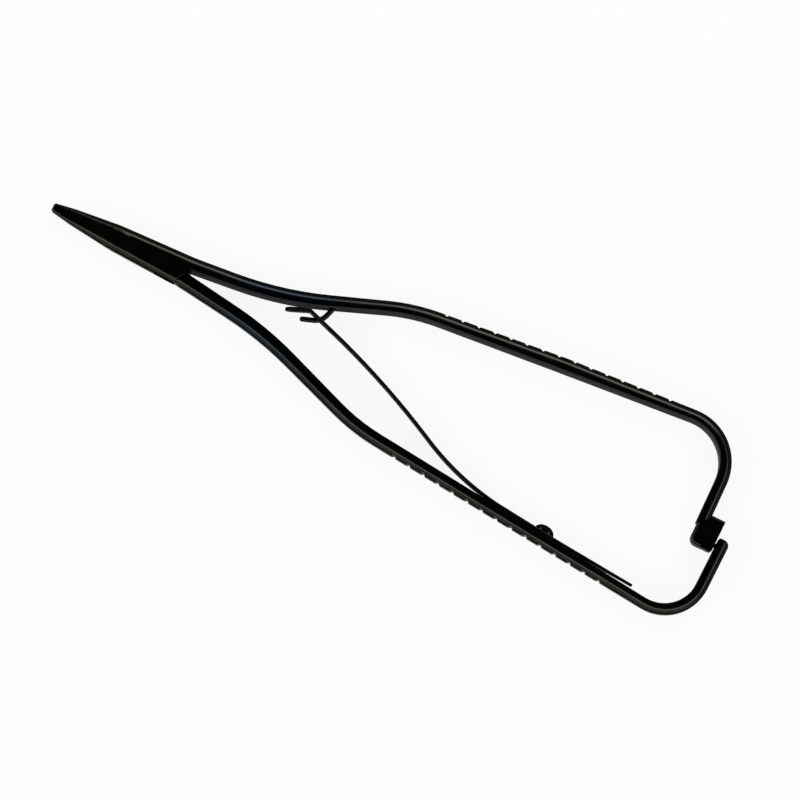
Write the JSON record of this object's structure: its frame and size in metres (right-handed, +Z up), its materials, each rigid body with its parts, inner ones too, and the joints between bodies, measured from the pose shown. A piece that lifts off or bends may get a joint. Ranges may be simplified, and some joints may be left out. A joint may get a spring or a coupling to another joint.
{
  "type": "surgical needle holder",
  "caption": "Palm-grip surgical needle holder, 140 mm, dark coated, with box lock, notched spring-loaded arms and rear ratchet catch.",
  "frame": {"origin": "pivot axis of the box lock, on the plane the instrument lies on", "axes": "+X along the instrument from the pivot to the handle ends, jaws towards -X; +Y towards the arm that carries the ratchet block; +Z up, out of the surface it lies on"},
  "size_m": [0.1399, 0.0375, 0.005],
  "materials": {
    "coated_steel": "semi-gloss dark coating",
    "spring_steel": "semi-gloss dark coating"
  },
  "bodies": {
    "box_side": {"box_half": "coated_steel", "pivot_pin": "coated_steel", "spring_hook": "spring_steel"},
    "tongue_side": {"tongue_half": "coated_steel", "leaf_spring": "spring_steel", "spring_screw": "coated_steel"}
  },
  "joints": [
    {"name": "jaw_hinge", "type": "hinge", "parent": "box_side", "child": "tongue_side", "pos_m": [0, 0, 0], "axis": [0, 0, -1], "range_deg": [0, 13], "deforming": ["leaf_spring"]}
  ]
}
